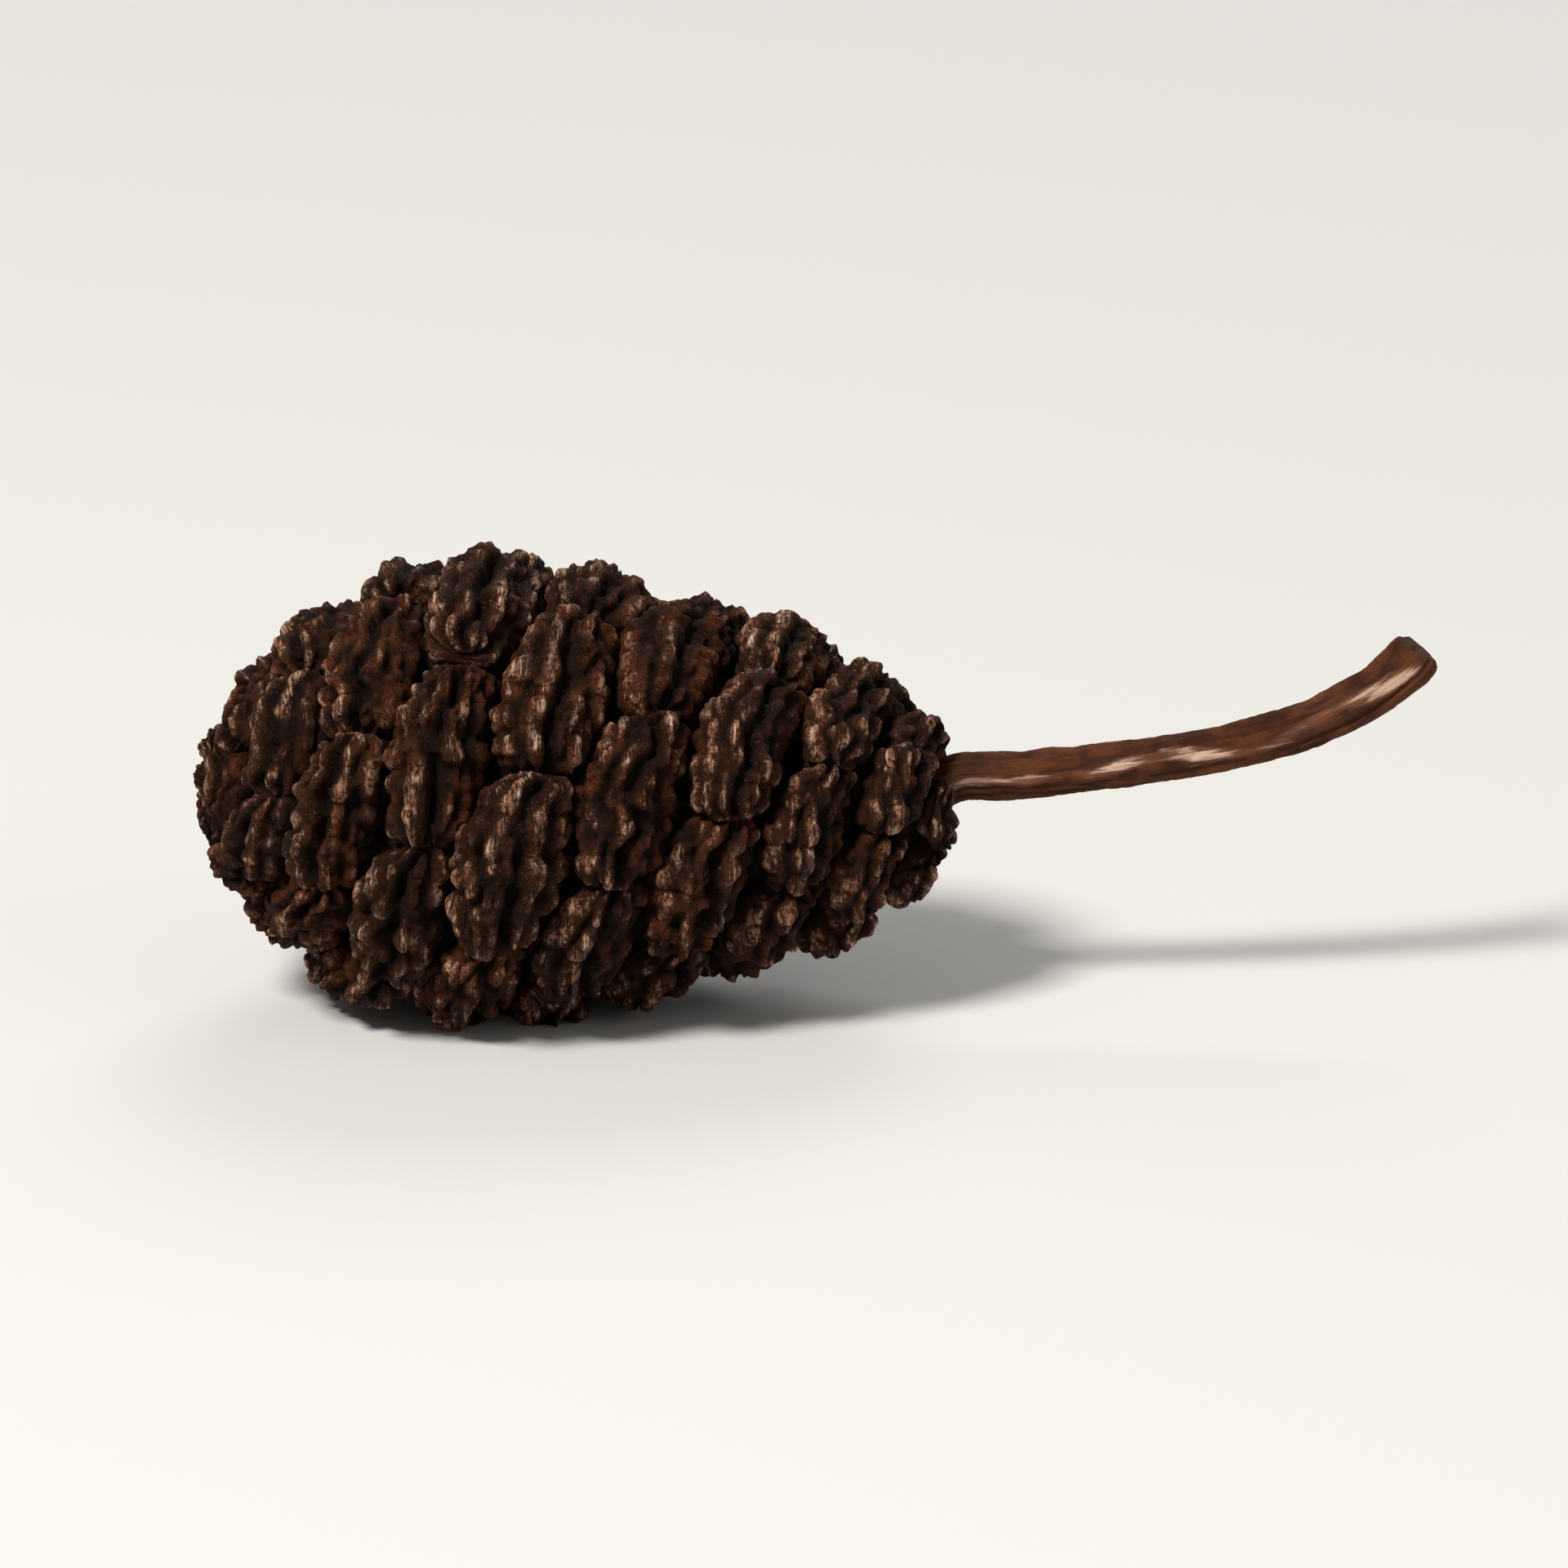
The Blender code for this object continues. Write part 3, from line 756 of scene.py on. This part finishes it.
def cone_finish():
    """Dry dark brown wood: redder and blacker in patches, with dark splits, worn lighter on ridges where a
    highlight is painted too, and painted shade in its hollows and deep between the scales.
    """
    finish = Finish("dry cone scale wood")
    own = finish.attribute("own", "Vector")
    cover = finish.attribute("cover")
    relief = finish.attribute("relief")
    tone = finish.attribute("tone")

    patches = finish.noise(own, (1.3, 1.3, 1.3), 4.0)
    streaks = finish.noise(own, (0.8, 0.12, 0.3), 3.0)
    grains = finish.noise(own, (0.11, 0.11, 0.11), 2.0)
    wood = finish.mix(patches.between(0.3, 0.7), DARK_WOOD, BROWN_WOOD)
    wood = finish.mix((patches + tone * 0.12).between(0.48, 0.72), wood, RED_WOOD)
    wood = finish.mix(streaks.between(0.5, 0.75) * 0.6, wood, STREAK_BLACK)
    # Ridge tops worn lighter, with a painted highlight on them too.
    worn_and_highlight = (relief + (streaks - 0.5) * 0.3 + (grains - 0.5) * 0.2).between(0.05, 0.2)
    worn_and_highlight = worn_and_highlight * cover.between(0.9, 0.2) * grains.between(0.3, 0.55)
    wood = finish.mix(worn_and_highlight * 0.9, wood, WORN_AND_HIGHLIGHT_WOOD)
    # Painted shade: the hollows of the relief are painted near black.
    hollow_shade = (relief + (grains - 0.5) * 0.06).between(0.02, -0.14)
    wood = finish.mix(hollow_shade * 0.9, wood, HOLLOW_SHADE_BLACK)
    # Painted shade: the deeper a place lies between the scales, the blacker it is painted.
    wood = finish.mix(cover.between(0.5, 1.6) * 0.9, wood, DEEP_SHADE_BLACK)
    fibres = finish.noise(own, (0.45, 0.05, 0.07), 4.0, 0.7)
    # Fibres rubbed pale on ridge tops, with a painted highlight on them too.
    rubbed_and_highlight = (fibres + (streaks - 0.5) * 0.5).between(0.5, 0.8) * relief.between(0.0, 0.14)
    wood = finish.mix(rubbed_and_highlight * cover.between(0.8, 0.2), wood, RUBBED_AND_HIGHLIGHT_WOOD)
    wood = finish.mix(fibres.between(0.52, 0.3) * 0.6, wood, FIBRE_BLACK)
    splits = abs(finish.noise(own, (0.3, 0.75, 0.6), 2.0, 0.5) - 0.5).between(0.014, 0.0)
    splits = splits * patches.between(0.42, 0.56)
    wood = finish.mix(splits * 0.85, wood, CRACK_BLACK)
    dust = finish.noise(own, (0.05, 0.05, 0.05), 1.0).between(0.68, 0.76) * cover.between(0.7, 0.1)
    wood = finish.mix(dust * 0.35, wood, PALE_DUST)

    gloss = finish.noise(own, (0.5, 0.2, 0.3), 3.0).between(0.55, 0.7)
    height = finish.noise(own, (0.09, 0.12, 0.12), 4.0, 0.7) + fibres * 1.2 - splits * 0.8
    finish.set(
        Base_Color=wood,
        Roughness=0.8 - gloss * 0.3,
        Coat_Weight=gloss * relief.between(-0.02, 0.1) * 0.55,
        Coat_Roughness=0.34,
        Normal=finish.bump(height, BUMP_HEIGHT),
        Specular_IOR_Level=0.14,
        Specular_Tint=WARM_SHINE,
    )
    return finish.material


def stalk_finish():
    """Reddish brown bark with painted shade in its furrows, pale strips along it that are rubbed bark with
    a painted highlight, and dull wood at its end.
    """
    finish = Finish("ridged stalk bark")
    own = finish.attribute("own", "Vector")
    relief = finish.attribute("relief")
    reach = finish.attribute("reach")
    peel_and_highlight = finish.attribute("peel_and_highlight")

    bands = finish.noise(own, (1.5, 0.16, 0.16), 3.0)
    fibres = finish.noise(own, (1.2, 0.07, 0.07), 3.0)
    blotches = finish.noise(own, (1.0, 0.8, 0.8), 3.0)
    bark = finish.mix(blotches.between(0.35, 0.65), DARK_BARK, RED_BARK)
    # Bark rubbed pale along the strips, with a painted highlight there too.
    rubbed_and_highlight = (peel_and_highlight + (fibres - 0.5) * 0.6).between(0.05, 0.5)
    bark = finish.mix(rubbed_and_highlight * 0.6, bark, RUBBED_AND_HIGHLIGHT_BARK)
    # Bare pale wood in the strips' cores, with a painted highlight there too.
    bare_and_highlight = (peel_and_highlight + (bands - 0.5) * 2.0 + (fibres - 0.5) * 2.0).between(0.45, 1.0)
    bark = finish.mix(bare_and_highlight * 0.9, bark, BARE_AND_HIGHLIGHT_BARK)
    bark = finish.mix(fibres.between(0.52, 0.72) * 0.7, bark, FIBRE_BARK)
    # Painted shade: the furrows of the relief are painted darker.
    bark = finish.mix(relief.between(-0.005, -0.045) * 0.8, bark, FURROW_SHADE_BARK)
    # The bark is darker over its first 1.2 mm from the cone, and in its socket.
    bark = finish.mix(reach.between(1.2, -0.2) * 0.6, bark, BASE_BARK)
    end = STALK_LENGTH / MM
    bark = finish.mix(reach.between(end - 0.2, end - 0.02) * 0.6, bark, END_WOOD)

    height = finish.noise(own, (0.8, 0.05, 0.05), 4.0, 0.7) + blotches * 0.6
    finish.set(
        Base_Color=bark,
        Roughness=0.6 + fibres * 0.3,
        Normal=finish.bump(height, BUMP_HEIGHT),
        Specular_IOR_Level=0.2,
        Specular_Tint=WARM_SHINE,
    )
    return finish.material


def floor_piece():
    """A plain pale floor."""
    finish = Finish("pale floor")
    finish.set(Base_Color=FLOOR_COLOUR, Roughness=0.9, Specular_IOR_Level=0.2)
    mesh = bpy.data.meshes.new("floor")
    corners = [(FLOOR_HALF * x, FLOOR_HALF * y, 0.0) for x, y in ((-1, -1), (1, -1), (1, 1), (-1, 1))]
    mesh.from_pydata(corners, [], [(0, 1, 2, 3)])
    mesh.materials.append(finish.material)
    floor = bpy.data.objects.new("floor", mesh)
    bpy.context.scene.collection.objects.link(floor)


def camera():
    """A camera with a long lens that looks along +Y, a little down on the middle of the part."""
    data = bpy.data.cameras.new("camera")
    data.lens = data.sensor_width * DISTANCE / SHOWN_WIDTH
    data.clip_start = NEAREST_SEEN
    data.clip_end = FARTHEST_SEEN
    made = bpy.data.objects.new("camera", data)
    made.location = Vector(LOOKED_AT) + DISTANCE * Vector((0.0, -math.cos(ELEVATION), math.sin(ELEVATION)))
    made.rotation_euler = Euler((math.pi / 2 - ELEVATION, 0.0, 0.0))
    bpy.context.scene.collection.objects.link(made)
    bpy.context.scene.camera = made


def area_light(name, place, size, power, tint):
    """A square soft light that faces the cone."""
    data = bpy.data.lights.new(name, "AREA")
    data.size = size
    data.energy = power
    data.color = tint
    light = bpy.data.objects.new(name, data)
    light.location = place
    light.rotation_euler = (-Vector(place)).to_track_quat("-Z", "Y").to_euler()
    bpy.context.scene.collection.objects.link(light)


def studio():
    """Three soft lights and an even pale backdrop.  Each light has its place, size, power and tint."""
    area_light("key_light", (-0.20, -0.26, 0.40), 0.12, 3.35, (1.0, 0.975, 0.94))
    area_light("fill_light", (0.45, -0.25, 0.25), 0.40, 0.5, (1.0, 0.985, 0.965))
    area_light("back_light", (0.10, 0.42, 0.38), 0.30, 1.1, (1.0, 1.0, 1.0))
    world = bpy.data.worlds.new("studio")
    world.use_nodes = True
    backdrop = world.node_tree.nodes["Background"]
    backdrop.inputs["Color"].default_value = BACKDROP_COLOUR
    backdrop.inputs["Strength"].default_value = BACKDROP_STRENGTH
    bpy.context.scene.world = world
    bpy.context.scene.view_settings.view_transform = "Standard"


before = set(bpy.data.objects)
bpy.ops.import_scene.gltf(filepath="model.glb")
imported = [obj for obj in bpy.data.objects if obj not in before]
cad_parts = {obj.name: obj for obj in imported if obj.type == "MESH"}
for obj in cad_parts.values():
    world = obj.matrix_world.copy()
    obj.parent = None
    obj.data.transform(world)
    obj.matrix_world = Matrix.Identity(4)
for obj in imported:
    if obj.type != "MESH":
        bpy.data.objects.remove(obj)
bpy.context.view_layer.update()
camera()

curve = outline()
places, rises = scale_places(curve)
lowest = np.argmin(np.abs(np.interp(places, curve["length"], curve["along"]) - CARRIED_AT))
base = base_place(curve, places[lowest])
wood = cone_finish()
scale_pieces(curve, base, places, rises, lowest, wood)
axis_piece(curve, base, wood)
stalk_piece(base, stalk_finish())
floor_piece()
studio()
